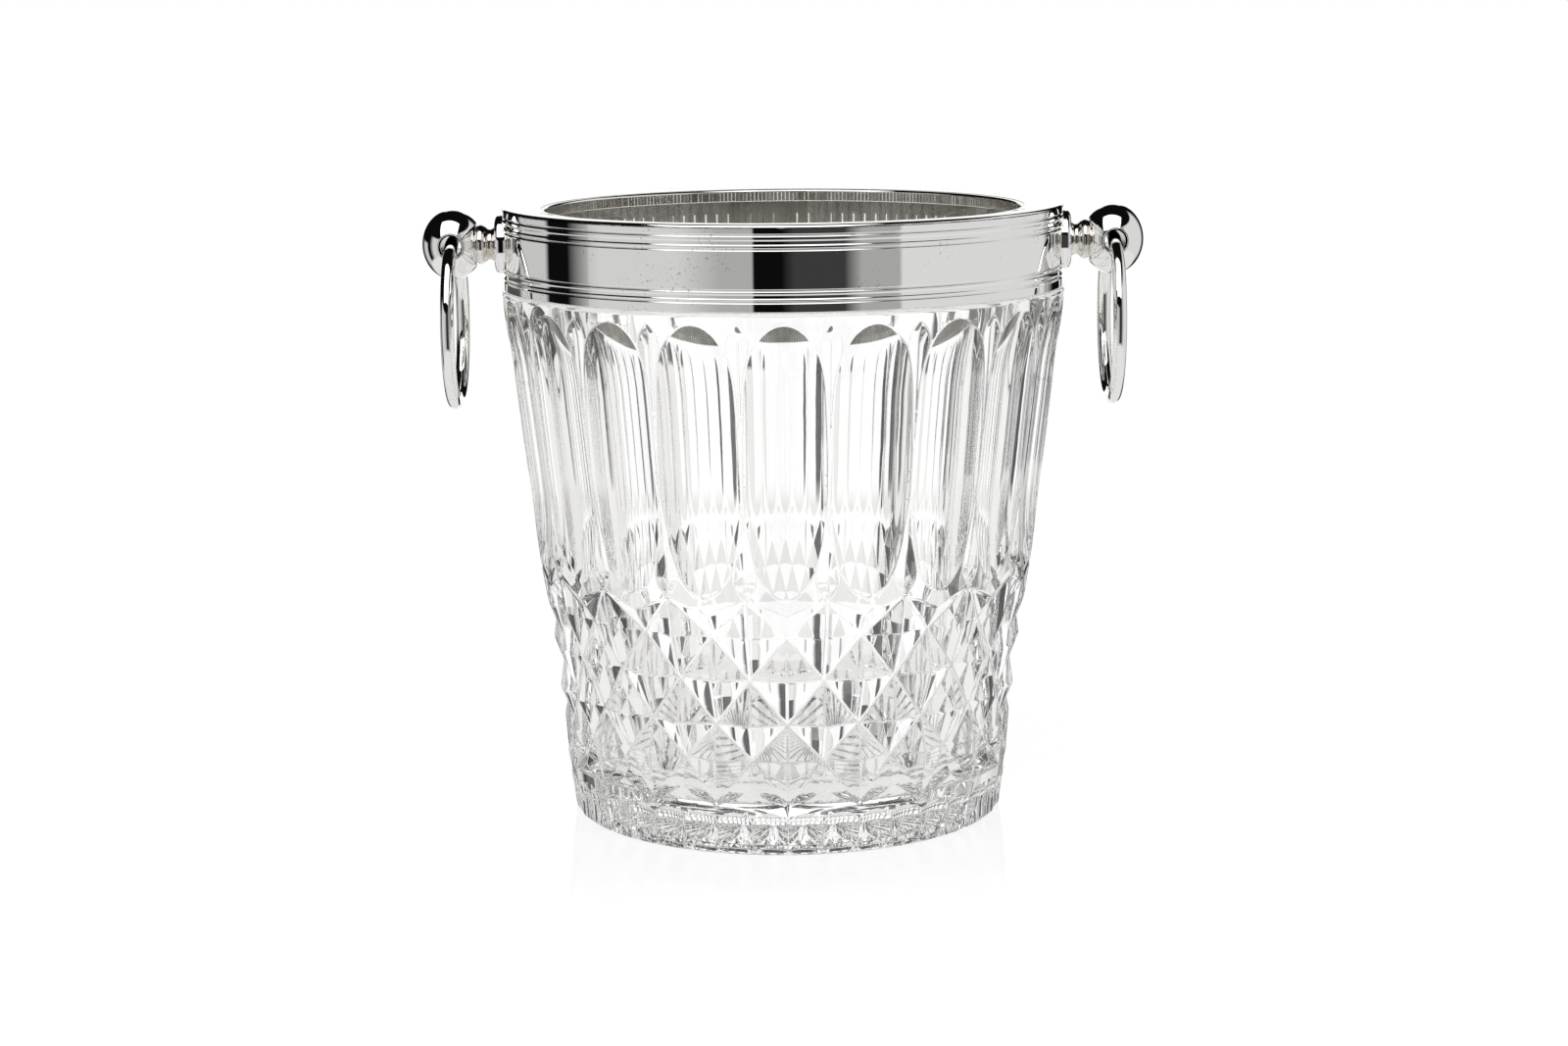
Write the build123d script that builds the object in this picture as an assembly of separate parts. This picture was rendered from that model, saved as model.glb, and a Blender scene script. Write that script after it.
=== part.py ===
"""Cut-glass champagne bucket with a silver-plated collar and two ring handles.

Frame: millimetres, +Z up, origin at the centre of the foot on the table.  +X runs through
the two handles, so a node called right_* lies on +X and left_* on -X.
"""
from build123d import *
import os
from math import acos, cos, hypot, radians, sin

# ---------------------------------------------------------------- driving dimensions
# Glass: one straight cone outside, cut with flutes, lens cuts, diamonds and foot flutes.
FLUTES = 20                     # big flutes round the wall; every other pattern follows them
PITCH = 360.0 / FLUTES          # degrees from one flute to the next
CONE_R0 = 79.6                  # cone radius, carried down to the table
CONE_SLOPE = 0.122              # growth of the cone radius per millimetre of height
FOOT_EDGE = 2.0                 # rounding of the bottom outer edge
REST_RING_R = 60.0              # inner radius of the ring that the glass stands on
RECESS_DEPTH = 1.5              # hollow under the base, inside that ring
FLOOR_Z = 17.0                  # top of the thick base, inside
FLOOR_R = 70.0                  # inside radius where the wall meets the floor
FLOOR_FILLET = 13.0
SHOULDER_Z = 195.5              # where the collar sits on the glass
SHOULDER_EDGE = 1.6
NECK_R = 97.0                   # rebated glass neck inside the collar
NECK_TOP_Z = 221.8
NECK_EDGE = 1.0
MOUTH_R = 89.2                  # inside radius of the neck

# Big flutes, as a round cutter following the cone with a run-out at each end.
FLUTE_CUTTER_R = 33.7
FLUTE_DEPTH = 4.0
FLUTE_BOTTOM_Z, FLUTE_TOP_Z = 94.5, 191.0
FLUTE_BOTTOM_RUNOUT, FLUTE_TOP_RUNOUT = 38.0, 24.5
FLUTE_SWING = 38.0              # degrees that the cutter turns to clear the wall

# Lens cuts between the flutes, an upper and a lower one on each ridge.
LENS_UPPER = (184.0, 145.0)     # height where it is widest, height of its point
LENS_LOWER = (101.5, 133.0)
LENS_END = 7.0                  # from the widest place to the blunt end
LENS_DEPTH = 1.2
LENS_FLARE = 3.0                # half width of the V for each millimetre of height
LENS_CLEAR, LENS_COVER = 0.4, 1.5

# Diamond band.  Peaks and groove crossings alternate along and between these levels.
DIAMOND_LEVELS = (94.3, 80.2, 64.5, 48.0, 34.8, 18.9)
PEAK_DEPTH = 0.4                # how far a peak stays below the cone
RELIEF = 4.1                    # peak to groove crossing
RUNOUT_LIFT = 0.3               # crossings of the first and last level, above the cone
TOP_OVERSHOOT = 3.7             # clipped half diamonds under the flutes
BOTTOM_OVERSHOOT = 2.3          # clipped half diamonds above the foot

# Foot flutes
FOOT_FLUTES = 40
FOOT_CUTTER_R = 8.0
FOOT_FLUTE_DEPTH = 1.7
FOOT_FLUTE_END_Z = 11.5         # centre of the cutter's round end

# Collar: an inverted channel of sheet with four turned grooves
COLLAR_R = 102.5
COLLAR_TOP_Z = 225.5
SHEET = 1.2
SKIRT_R = 87.0                  # inner skirt, inside radius
SKIRT_DEPTH = 6.0
TOP_EDGE = 0.9
GROOVE_DROPS = (3.9, 8.7, 22.6, 26.5)   # groove centres below the top
GROOVE_WIDTH, GROOVE_DEPTH = 0.9, 0.55

# Handles, along X at HANDLE_Z.  Distances are from the bucket's axis.
HANDLE_Z = 211.0
STUD_R, STUD_HOLE_R = 2.0, 2.1
STUD_END = 98.1
WASHER_R, WASHER_T = 5.0, 0.8
NUT_FLATS, NUT_T = 7.0, 2.0
ESCUTCHEON_R, ESCUTCHEON_END, ESCUTCHEON_EDGE = 10.9, 105.3, 1.0
COVE_X, COVE_R = 107.0, 5.7
BEAD_START, BEAD_END, BEAD_R = 109.4, 111.9, 7.3
SPIGOT_R, SPIGOT_HOLE_R, SPIGOT_LENGTH = 3.0, 3.02, 3.2
BALL_X, BALL_R, BALL_HALF_LENGTH = 120.9, 13.0, 11.3
RING_HOLE_R, RING_MOUTH_R, RING_MOUTH_Y = 3.85, 5.0, 10.4
RING_R, RING_ROD_R = 29.8, 2.5
RING_RISE = 1.1                 # rod centre above the hole's axis, in the middle of the ball
SKIN = 0.02                     # close fit of turned pieces in holes, and of the bed
POCKET_ROOM = 0.3               # room in the bed round the washer, nut and stud


def cone_r(z):
    """Outside radius of the uncut cone at height z."""
    return CONE_R0 + CONE_SLOPE * z


def revolved(face):
    """Full turn of an XZ-plane face about the bucket's axis."""
    return revolve(face, axis=Axis.Z)


def xz_face(*points):
    """Closed face in the XZ plane from (radius, height) points."""
    return make_face(Plane.XZ * Polyline(*points, close=True))


def nearest_corner(face, r, z):
    """The corner of an XZ-plane face that lies nearest to (radius, height)."""
    return face.vertices().sort_by_distance(Vector(r, 0, z))[0]


# ---------------------------------------------------------------- glass
def glass_blank():
    """The uncut glass: cone outside, rebated neck, tapered inside and a thick base."""
    face = xz_face(
        (0, RECESS_DEPTH),
        (REST_RING_R - RECESS_DEPTH, RECESS_DEPTH),
        (REST_RING_R, 0),
        (cone_r(0), 0),
        (cone_r(SHOULDER_Z), SHOULDER_Z),
        (NECK_R, SHOULDER_Z),
        (NECK_R, NECK_TOP_Z),
        (MOUTH_R, NECK_TOP_Z),
        (FLOOR_R, FLOOR_Z),
        (0, FLOOR_Z),
    )
    for r, z, radius in (
        (cone_r(0), 0, FOOT_EDGE),
        (cone_r(SHOULDER_Z), SHOULDER_Z, SHOULDER_EDGE),
        (FLOOR_R, FLOOR_Z, FLOOR_FILLET),
        (NECK_R, NECK_TOP_Z, NECK_EDGE),
        (MOUTH_R, NECK_TOP_Z, NECK_EDGE),
    ):
        face = fillet(nearest_corner(face, r, z), radius)
    return revolved(face)


def wall_frame():
    """Unit vectors along the cone's wall and out of it, in (radius, height)."""
    length = hypot(CONE_SLOPE, 1.0)
    return (CONE_SLOPE / length, 1.0 / length), (1.0 / length, -CONE_SLOPE / length)


def wall_point(z, out):
    """Point of the XZ plane that stands `out` off the cone's wall at height z."""
    _, normal = wall_frame()
    return Vector(cone_r(z) + out * normal[0], 0, z + out * normal[1])


def flute_cutter():
    """Round bar that follows the wall at full depth and swings out of it at both ends."""
    along, normal = wall_frame()
    axis_out = FLUTE_CUTTER_R - FLUTE_DEPTH
    ends = []
    for end_z, runout, way in (
        (FLUTE_BOTTOM_Z, FLUTE_BOTTOM_RUNOUT, -1),
        (FLUTE_TOP_Z, FLUTE_TOP_RUNOUT, 1),
    ):
        start = wall_point(end_z - way * runout, axis_out)
        bend = runout**2 / (2 * FLUTE_DEPTH) - FLUTE_CUTTER_R
        turn = radians(FLUTE_SWING)
        step, rise = bend * sin(turn), bend * (1 - cos(turn))
        end = start + Vector(
            way * step * along[0] + rise * normal[0], 0, way * step * along[1] + rise * normal[1]
        )
        ends.append((start, end, Vector(way * along[0], 0, way * along[1])))
    (low_start, low_end, low_way), (high_start, high_end, high_way) = ends
    path = Wire(
        [
            TangentArc(low_start, low_end, tangent=low_way).edge(),
            Line(low_start, high_start).edge(),
            TangentArc(high_start, high_end, tangent=high_way).edge(),
        ]
    )
    section = Plane(origin=path @ 0, z_dir=path % 0) * Circle(FLUTE_CUTTER_R)
    return sweep(section, path=path)


def polyhedron(*facets):
    """Closed solid from its flat facets, each a run of points."""
    return Solid(Shell([Face(Wire.make_polygon(corners, close=True)) for corners in facets]))


def lens_cutter(wide_z, point_z):
    """Wedge whose keel dips into the ridge at wide_z and leaves it again at point_z."""
    back = LENS_END if wide_z > point_z else -LENS_END
    stations = []
    for z, keel in (
        (wide_z + back, LENS_CLEAR),
        (wide_z, -LENS_DEPTH),
        (point_z, LENS_CLEAR),
    ):
        half = (LENS_COVER - keel) * LENS_FLARE
        wings = [wall_point(z, LENS_COVER) + Vector(0, side * half, 0) for side in (-1, 1)]
        stations.append((wall_point(z, keel), *wings))
    facets = [stations[0], stations[-1]]
    for (k0, l0, r0), (k1, l1, r1) in zip(stations, stations[1:]):
        facets += [(k0, k1, l0), (k1, l1, l0), (k0, r0, k1), (k1, r0, r1)]
        facets += [(l0, l1, r0), (l1, r1, r0)]
    return polyhedron(*facets)


def foot_cutter():
    """Round-ended bar down the foot, one for each foot flute."""
    start = wall_point(FOOT_FLUTE_END_Z, FOOT_CUTTER_R - FOOT_FLUTE_DEPTH)
    end = wall_point(-FOOT_CUTTER_R, FOOT_CUTTER_R - FOOT_FLUTE_DEPTH)
    way = end - start
    bar = extrude(Plane(origin=start, z_dir=way) * Circle(FOOT_CUTTER_R), way.length)
    return bar + Pos(start) * Sphere(FOOT_CUTTER_R)


def diamond_radius(row, column):
    """Radius of a grid point: a peak where row + column is even, a crossing where it is odd."""
    peak = (row + column) % 2 == 0
    r = cone_r(DIAMOND_LEVELS[row])
    if row == 0:
        return r + (TOP_OVERSHOOT if peak else RUNOUT_LIFT)
    if row == len(DIAMOND_LEVELS) - 1:
        return r + (BOTTOM_OVERSHOOT if peak else RUNOUT_LIFT)
    return r - PEAK_DEPTH - (0 if peak else RELIEF)


def diamond_cutter():
    """Ring whose inner side is the faceted diamond surface."""
    columns = 2 * FLUTES
    rim = cone_r(DIAMOND_LEVELS[0]) + 4 * TOP_OVERSHOOT

    def point(row, column, r=None):
        angle = radians(column * PITCH / 2)
        r = diamond_radius(row, column % columns) if r is None else r
        return Vector(r * cos(angle), r * sin(angle), DIAMOND_LEVELS[row])

    last = len(DIAMOND_LEVELS) - 1
    facets = []
    for j in range(columns):
        for i in range(last):
            a, b = point(i, j), point(i, j + 1)
            c, d = point(i + 1, j + 1), point(i + 1, j)
            if (i + j) % 2 == 0:                # a and c are peaks, b and d crossings
                facets += [(a, d, b), (c, b, d)]
            else:
                facets += [(b, a, c), (d, c, a)]
        outside = [point(row, col, rim) for row, col in ((0, j), (last, j), (last, j + 1))]
        facets.append((*outside, point(0, j + 1, rim)))
        for row in (0, last):
            edge = [point(row, j), point(row, j + 1)]
            facets.append((*edge, point(row, j + 1, rim), point(row, j, rim)))
    return polyhedron(*facets)


def glass_body():
    """The blank, cut one cutter at a time all the way round."""
    glass = glass_blank()
    rounds = [(flute_cutter(), FLUTES, 0.0)]
    rounds += [(lens_cutter(*lens), FLUTES, PITCH / 2) for lens in (LENS_UPPER, LENS_LOWER)]
    rounds.append((foot_cutter(), FOOT_FLUTES, PITCH / 4))
    for cutter, count, first in rounds:
        for i in range(count):
            glass -= Rot(0, 0, first + i * 360.0 / count) * cutter
    glass -= diamond_cutter()
    return glass


# ---------------------------------------------------------------- collar and its bed
def collar_profile():
    """Section of the sheet channel, with the turned grooves in its outer wall."""
    bottom, top = SHOULDER_Z, COLLAR_TOP_Z
    points = [(COLLAR_R - SHEET, bottom), (COLLAR_R, bottom)]
    for drop in reversed(GROOVE_DROPS):
        z = top - drop
        half = GROOVE_WIDTH / 2
        points += [(COLLAR_R, z - half), (COLLAR_R - GROOVE_DEPTH, z), (COLLAR_R, z + half)]
    points += [
        (COLLAR_R, top),
        (SKIRT_R, top),
        (SKIRT_R, top - SKIRT_DEPTH),
        (SKIRT_R + SHEET, top - SKIRT_DEPTH),
        (SKIRT_R + SHEET, top - SHEET),
        (COLLAR_R - SHEET, top - SHEET),
    ]
    face = xz_face(*points)
    for r in (COLLAR_R, SKIRT_R):
        face = fillet(nearest_corner(face, r, top), TOP_EDGE)
    return face


def x_bar(radius, start, end, side):
    """Round bar along X at handle height, from start to end off the bucket's axis."""
    plane = Plane(origin=(side * start, 0, HANDLE_Z), z_dir=(side, 0, 0))
    return extrude(plane * Circle(radius), end - start)


def collar():
    """The channel with a hole in its outer wall for each handle's stud."""
    ring = revolved(collar_profile())
    for side in (-1, 1):
        ring -= x_bar(STUD_HOLE_R, COLLAR_R - 4 * SHEET, COLLAR_R + SHEET, side)
    return ring


def cement_bed():
    """Setting plaster that fills the channel over the glass neck, round the fastenings."""
    outer, inner = COLLAR_R - SHEET - SKIN, SKIRT_R + SHEET + SKIN
    top = COLLAR_TOP_Z - SHEET - SKIN
    bed = revolved(
        xz_face(
            (NECK_R + SKIN, SHOULDER_Z + SKIN),
            (outer, SHOULDER_Z + SKIN),
            (outer, top),
            (inner, top),
            (inner, NECK_TOP_Z + SKIN),
            (NECK_R + SKIN, NECK_TOP_Z + SKIN),
        )
    )
    for side in (-1, 1):
        bed -= x_bar(WASHER_R + POCKET_ROOM, STUD_END - POCKET_ROOM, COLLAR_R, side)
    return bed


# ---------------------------------------------------------------- handle pieces
def turned(face, side):
    """Full turn of an XZ-plane face about the handle's axis, on the +X or the -X side."""
    solid = Pos(0, 0, HANDLE_Z) * revolve(face, axis=Axis.X)
    return solid if side > 0 else mirror(solid, about=Plane.YZ)


def escutcheon(side):
    """Low domed disc, hollowed to sit on the collar's wall."""
    start, end = COLLAR_R - 1, ESCUTCHEON_END
    dome_start, dome_r = end - ESCUTCHEON_EDGE, ESCUTCHEON_R - ESCUTCHEON_EDGE
    outline = [
        Line((start, STUD_HOLE_R), (start, ESCUTCHEON_R)),
        Line((start, ESCUTCHEON_R), (dome_start, ESCUTCHEON_R)),
        TangentArc((dome_start, ESCUTCHEON_R), (end, dome_r), tangent=(1, 0)),
        Line((end, dome_r), (end, STUD_HOLE_R)),
        Line((end, STUD_HOLE_R), (start, STUD_HOLE_R)),
    ]
    disc = turned(make_face(Plane.XZ * Curve(outline)), side)
    return disc - Pos(0, 0, HANDLE_Z) * Cylinder(COLLAR_R, 3 * ESCUTCHEON_R)


def neck(side):
    """Turned neck: stud through the collar, foot, cove, bead and the spigot in the ball."""
    foot_r, bead_side_r = BEAD_R - 0.1, BEAD_R - 0.6
    bead_top = ((BEAD_START + BEAD_END) / 2, BEAD_R)
    spigot_end = BEAD_END + SPIGOT_LENGTH
    outline = [
        Line((STUD_END, 0), (STUD_END, STUD_R)),
        Line((STUD_END, STUD_R), (ESCUTCHEON_END, STUD_R)),
        Line((ESCUTCHEON_END, STUD_R), (ESCUTCHEON_END, foot_r)),
        ThreePointArc((ESCUTCHEON_END, foot_r), (COVE_X, COVE_R), (BEAD_START, bead_side_r)),
        ThreePointArc((BEAD_START, bead_side_r), bead_top, (BEAD_END, bead_side_r)),
        Line((BEAD_END, bead_side_r), (BEAD_END, SPIGOT_R)),
        Line((BEAD_END, SPIGOT_R), (spigot_end, SPIGOT_R)),
        Line((spigot_end, SPIGOT_R), (spigot_end, 0)),
        Line((spigot_end, 0), (STUD_END, 0)),
    ]
    return turned(make_face(Plane.XZ * Curve(outline)), side)


def ring_hole():
    """Cutter of the hole that the ring runs in, along Y with a flare at each mouth."""
    slope = (RING_MOUTH_R - RING_HOLE_R) / (BALL_R - RING_MOUTH_Y)
    far = 1.2 * BALL_R
    far_r = RING_MOUTH_R + slope * (far - BALL_R)
    face = make_face(
        Polyline(
            (0, -far),
            (far_r, -far),
            (RING_HOLE_R, -RING_MOUTH_Y),
            (RING_HOLE_R, RING_MOUTH_Y),
            (far_r, far),
            (0, far),
            close=True,
        )
    )
    return revolve(face, axis=Axis.Y)


def ball(side):
    """Oblate knob, flat where it meets the neck, bored for the spigot and for the ring."""
    shoulder = BALL_X - BEAD_END
    end_angle = acos(-shoulder / BALL_HALF_LENGTH)
    angles = [end_angle * i / 8 for i in range(9)]
    points = [(BALL_HALF_LENGTH * cos(t), BALL_R * sin(t)) for t in angles]
    ways = [(-BALL_HALF_LENGTH * sin(t), BALL_R * cos(t)) for t in (0, end_angle)]
    outline = [
        Spline(*points, tangents=ways),
        Line(points[-1], (-shoulder, 0)),
        Line((-shoulder, 0), points[0]),
    ]
    knob = revolve(make_face(Plane.XZ * Curve(outline)), axis=Axis.X)
    socket = Plane(origin=(-shoulder - 1, 0, 0), z_dir=(1, 0, 0)) * Circle(SPIGOT_HOLE_R)
    knob -= extrude(socket, SPIGOT_LENGTH + 1.2)
    knob -= ring_hole()
    solid = Pos(BALL_X, 0, HANDLE_Z) * knob
    return solid if side > 0 else mirror(solid, about=Plane.YZ)


def washer(side):
    """Washer bent to the inside of the collar's wall."""
    inside = COLLAR_R - SHEET
    blank = x_bar(WASHER_R, inside - 3 * WASHER_T, COLLAR_R, side)
    blank -= x_bar(STUD_HOLE_R, inside - 4 * WASHER_T, COLLAR_R + 1, side)
    outer, inner = (
        Pos(0, 0, HANDLE_Z) * Cylinder(r, 3 * WASHER_R) for r in (inside, inside - WASHER_T)
    )
    return (blank & outer) - inner


def nut(side):
    """Thin hexagon nut on the stud, pulled up against the washer."""
    end = COLLAR_R - SHEET - WASHER_T
    start = end - NUT_T
    plane = Plane(origin=(side * start, 0, HANDLE_Z), z_dir=(side, 0, 0))
    hexagon = plane * RegularPolygon(NUT_FLATS / 2, 6, major_radius=False)
    nut_blank = extrude(hexagon, NUT_T) - x_bar(STUD_R + SKIN, start - 1, end + 1, side)
    return nut_blank & Pos(0, 0, HANDLE_Z) * Cylinder(end, 3 * NUT_FLATS)


def ring(side):
    """Round ring that hangs through the ball, in the plane across the handle's axis."""
    centre_z = HANDLE_Z + RING_RISE - RING_R
    plane = Plane(origin=(side * BALL_X, 0, centre_z), z_dir=(1, 0, 0))
    return plane * Torus(RING_R, RING_ROD_R)


# ---------------------------------------------------------------- write the parts
def main():
    os.makedirs("parts", exist_ok=True)
    nodes = {"glass_body": glass_body(), "collar": collar(), "cement_bed": cement_bed()}
    makers = {
        "escutcheon": escutcheon,
        "neck": neck,
        "ball": ball,
        "washer": washer,
        "nut": nut,
        "ring": ring,
    }
    for name, side in (("left", -1), ("right", 1)):
        for piece, make in makers.items():
            nodes[f"{name}_{piece}"] = make(side)
    for name, shape in nodes.items():
        shape.label = name
        export_step(shape, f"parts/{name}.step")
        print(f"{name:18s} {shape.volume / 1000:10.3f} cm3")


if __name__ == "__main__":
    main()
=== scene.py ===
"""Looks of the cut-glass champagne bucket with a silver-plated collar and two ring handles."""
import math

import bmesh
import bpy
import numpy as np
from mathutils import Matrix, Vector
from mathutils.geometry import delaunay_2d_cdt


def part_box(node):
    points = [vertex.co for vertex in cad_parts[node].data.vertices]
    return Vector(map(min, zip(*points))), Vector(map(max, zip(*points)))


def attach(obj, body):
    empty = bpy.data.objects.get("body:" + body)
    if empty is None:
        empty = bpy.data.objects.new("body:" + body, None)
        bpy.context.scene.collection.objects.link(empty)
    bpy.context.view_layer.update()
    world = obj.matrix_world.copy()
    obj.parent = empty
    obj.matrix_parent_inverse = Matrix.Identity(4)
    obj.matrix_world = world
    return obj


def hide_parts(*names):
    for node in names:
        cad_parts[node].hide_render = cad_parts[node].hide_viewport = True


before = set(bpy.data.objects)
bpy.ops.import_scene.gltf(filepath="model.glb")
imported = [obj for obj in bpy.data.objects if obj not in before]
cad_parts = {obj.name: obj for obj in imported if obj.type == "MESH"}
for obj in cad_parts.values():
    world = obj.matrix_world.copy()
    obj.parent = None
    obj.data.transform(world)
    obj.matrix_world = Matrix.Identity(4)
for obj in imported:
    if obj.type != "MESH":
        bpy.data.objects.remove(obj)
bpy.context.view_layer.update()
MM = 0.001


def height_mm(node, end):
    """Lowest (0) or highest (1) point of a CAD node, in millimetres."""
    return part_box(node)[end].z / MM


# ------------------------------------------------------------------ sizes, in millimetres
COLLAR_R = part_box("collar")[1].x / MM
COLLAR_TOP = height_mm("collar", 1)
SHOULDER_Z = height_mm("collar", 0)
NECK_TOP = height_mm("glass_body", 1)
BALL_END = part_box("right_ball")[1].x / MM
HANDLE_Z = (height_mm("right_ball", 0) + height_mm("right_ball", 1)) / 2

FLUTES = 20
SECTOR = 360.0 / FLUTES             # degrees of one flute
HALF = SECTOR / 2                   # the pattern is mirrored at every half sector
CONE_R0, CONE_SLOPE = 79.6, 0.122   # outside radius at the table, growth with height
FLUTE_Z = (94.5, 191.0)             # bottom and top of the flutes
FLUTE_RUNOUT = (38.0, 24.5)         # height over which each end of a flute fades
# The flutes and foot flutes are a little deeper here than in the CAD, for how they refract.
FLUTE_DEPTH, FLUTE_CURVE = 4.3, 25.5    # depth, radius of curvature across
LENS_UPPER = (145.0, 184.0, 191.3)  # point, widest place, blunt end
LENS_LOWER = (133.0, 101.5, 94.4)
LENS_DEPTH, LENS_SLOPE = 1.25, 0.31    # depth, rise of the V to each side
LEVELS = (94.3, 80.2, 64.5, 48.0, 34.8, 18.9)   # heights where the diamond grooves cross
PEAK_DEPTH, RELIEF = 0.4, 4.1
RUNOUT_LIFT, TOP_OVERSHOOT, BOTTOM_OVERSHOOT = 0.3, 3.7, 2.3
FOOT_TOP, FOOT_FULL = 16.0, 11.6    # arch of the foot flutes, and where they are full depth
FOOT_DEPTH, FOOT_CURVE = 2.5, 8.2
FOOT_EDGE = 2.6                     # height and depth of the rounded bottom edge
PATCH_TOP = 193.0                   # the cut part of the wall ends here
SOFTEN = ((16.6, 0.3), (94.5, 0.62), (1e3, 0.42))   # height up to which, rounding of creases
NECK_R, MOUTH_R, FLOOR_R, FLOOR_Z = 97.0, 89.2, 70.0, 17.0
FLOOR_FILLET, REST_R, RECESS = 13.0, 60.0, 1.5
STAR_DEPTH, STAR_EDGE, STAR_HUB = 1.7, 57.5, 12.0   # shallow star cut under the base, not in the CAD

BALL_X, BALL_HALF, BALL_R = BALL_END - 11.3, 11.3, 13.0
RING_HOLE_R, RING_MOUTH_R, RING_MOUTH_Y = 3.85, 5.0, 10.4
RING_R, RING_ROD_R, RING_RISE = 29.8, 2.5, 1.1
RING_JOINT = 196.0                  # degrees round the ring from its top to its joint

SHEET, SKIRT_R, SKIRT_DEPTH, TOP_EDGE = 1.2, 87.0, 6.0, 1.3
TOP_FALL = 1.5                      # the top of the rim falls this much to the inside
LINING_TOP = 214.0                  # bright foil lies round the lower part of the glass neck
GROOVES = (3.9, 8.7, 22.6, 26.5)    # down from the collar's top
GROOVE_DEPTH, GROOVE_HALF = 0.4, 0.34
CHANNELS = ((5.6, 7.2), (23.9, 25.4))   # shallow recess between the beads of each pair
CHANNEL_DEPTH, CHANNEL_EASE = 0.3, 0.22
ESCUTCHEON_R = (height_mm("right_escutcheon", 1) - height_mm("right_escutcheon", 0)) / 2
ESCUTCHEON_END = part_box("right_escutcheon")[1].x / MM
STUD_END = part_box("right_neck")[0].x / MM
BEAD_X = (109.4, 111.9)             # the neck's bead, from and to, along the handle's axis
STUD_R, SPIGOT_R = 2.0, 3.0         # ends of the neck, in the collar and in the knob
COVE_START_R, COVE_R = 7.2, 5.7     # radius of the cove at its foot and in its middle
BEAD_EDGE_R, BEAD_SWELL = 6.7, 0.6  # radius of the bead at its edges, growth in its middle
DISC_STEP = 0.5                     # depth of the turned step in the face of each disc
KNOB_EDGE = 0.45                    # rounding where the flare of the hole meets the knob
SEAT_GAP = 0.02                     # room between close-fitting pieces
JOINT_WIDTH, JOINT_DEPTH = 0.16, 0.12   # the fine line of a ring's joint


# ------------------------------------------------------------------ small helpers
def place(obj, body, slot, *nodes):
    """The piece rides on a body and stands for CAD nodes; slot is not used."""
    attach(obj, body)
    if nodes:
        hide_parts(*nodes)
    return obj


# ------------------------------------------------------------------ the cut wall
def cone_r(z):
    return CONE_R0 + CONE_SLOPE * z


def diamond_planes():
    """For each row of half cells, two planes n.p = d, as (n, d), over one half sector."""
    last = len(LEVELS) - 1

    def corner(row, column):
        peak = (row + column) % 2 == 0
        r = cone_r(LEVELS[row])
        if row == 0:
            r += TOP_OVERSHOOT if peak else RUNOUT_LIFT
        elif row == last:
            r += BOTTOM_OVERSHOOT if peak else RUNOUT_LIFT
        else:
            r -= PEAK_DEPTH + (0 if peak else RELIEF)
        angle = math.radians(column * HALF)
        return np.array((r * math.cos(angle), r * math.sin(angle), LEVELS[row]))

    rows = []
    for row in range(last):
        corners = {(i, j): corner(row + i, j) for i in (0, 1) for j in (0, 1)}
        peaks = [key for key in corners if (row + sum(key)) % 2 == 0]
        valleys = [corners[key] for key in corners if key not in peaks]
        planes = []
        for key in peaks:
            normal = np.cross(valleys[0] - corners[key], valleys[1] - corners[key])
            planes.append((normal, float(normal @ corners[key])))
        rows.append(planes)
    return rows


PLANES = diamond_planes()


def diamond_r(theta, z):
    """Radius of the faceted band; theta in degrees within one half sector."""
    out = np.full(theta.shape, 1e3)
    c, s = np.cos(np.radians(theta)), np.sin(np.radians(theta))
    for row, planes in enumerate(PLANES):
        here = (z <= LEVELS[row]) & (z >= LEVELS[row + 1])
        sides = [(d - n[2] * z) / (n[0] * c + n[1] * s) for n, d in planes]
        out = np.where(here, np.maximum(*sides), out)
    return out


def flute_depth(z):
    """Depth of a flute on its centre line: full in the middle, with a run-out at each end."""
    low = np.clip((FLUTE_Z[0] + FLUTE_RUNOUT[0] - z) / FLUTE_RUNOUT[0], 0, None)
    high = np.clip((z - FLUTE_Z[1] + FLUTE_RUNOUT[1]) / FLUTE_RUNOUT[1], 0, None)
    return FLUTE_DEPTH * (1 - low**2 - high**2)


def lens_depth(z, ends):
    """Depth of a lens cut on its centre line: straight from its point, quick at its end."""
    point, wide, blunt = ends
    along = (z - point) / (wide - point)
    back = (blunt - z) / (blunt - wide)
    return LENS_DEPTH * np.where(back < 1, 1 - (1 - back) ** 2, along)


def foot_depth(z):
    """Depth of a foot flute on its centre line."""
    up = np.clip((z - FOOT_FULL) / (FOOT_TOP - FOOT_FULL), 0, None)
    return FOOT_DEPTH * (1 - up**2)


def cuts(theta, z):
    """Radius that each kind of cut leaves; theta in degrees, folded to one half sector."""
    theta = np.abs((theta + HALF) % SECTOR - HALF)
    cone = cone_r(z)
    across = cone * np.radians(theta)
    ridge = cone * np.radians(HALF - theta)
    foot = cone * np.radians(theta - HALF / 2)
    edge = np.clip(1 - z / FOOT_EDGE, 0, None)
    return np.stack([
        cone,
        cone - flute_depth(z) + across**2 / (2 * FLUTE_CURVE),
        cone - lens_depth(z, LENS_UPPER) + ridge * LENS_SLOPE,
        cone - lens_depth(z, LENS_LOWER) + ridge * LENS_SLOPE,
        diamond_r(theta, z),
        cone - foot_depth(z) + foot**2 / (2 * FOOT_CURVE),
        cone - FOOT_EDGE * edge**1.7,
    ])


def soften(z):
    """Radius over which creases are rounded: wide in the diamonds, crisp elsewhere."""
    (foot_top, foot), (band_top, band), (_, above) = SOFTEN
    low = np.clip((z - foot_top) / 3, 0, 1)
    high = np.clip((z - band_top) / 6, 0, 1)
    return foot + (band - foot) * low + (above - band) * high


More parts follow.
